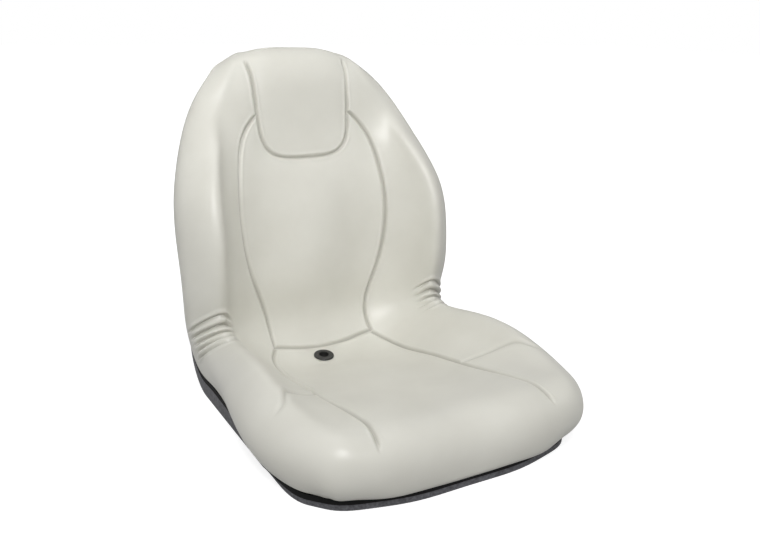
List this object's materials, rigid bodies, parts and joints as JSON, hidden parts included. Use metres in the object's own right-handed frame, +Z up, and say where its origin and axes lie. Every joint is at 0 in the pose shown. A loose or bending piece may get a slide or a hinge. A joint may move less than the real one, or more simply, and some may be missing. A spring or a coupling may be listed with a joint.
{
  "type": "high-back seat",
  "caption": "High-back seat with moulded vinyl cushion, side bolsters, pleated crease, headrest panel, drain eyelet and pressed pan that bolts to a garden machine.",
  "frame": {"origin": "middle of the four mounting holes, on the underside of the pan", "axes": "+Z up, the sitter looks towards -Y, +X across the seat"},
  "size_m": [0.4726, 0.5855, 0.4967],
  "materials": {
    "vinyl": "satin, fine grain",
    "foam": "matte open-cell foam",
    "pan_coat": "fine textured powder coat",
    "trim_rubber": "matte",
    "eyelet_plastic": "satin",
    "nut_steel": "zinc plated"
  },
  "bodies": {
    "root": {"vinyl_cover": "vinyl", "foam_core": "foam", "seat_pan": "pan_coat", "edge_trim": "trim_rubber", "drain_grommet": "eyelet_plastic", "mounting_weld_nuts": "nut_steel"}
  },
  "joints": []
}
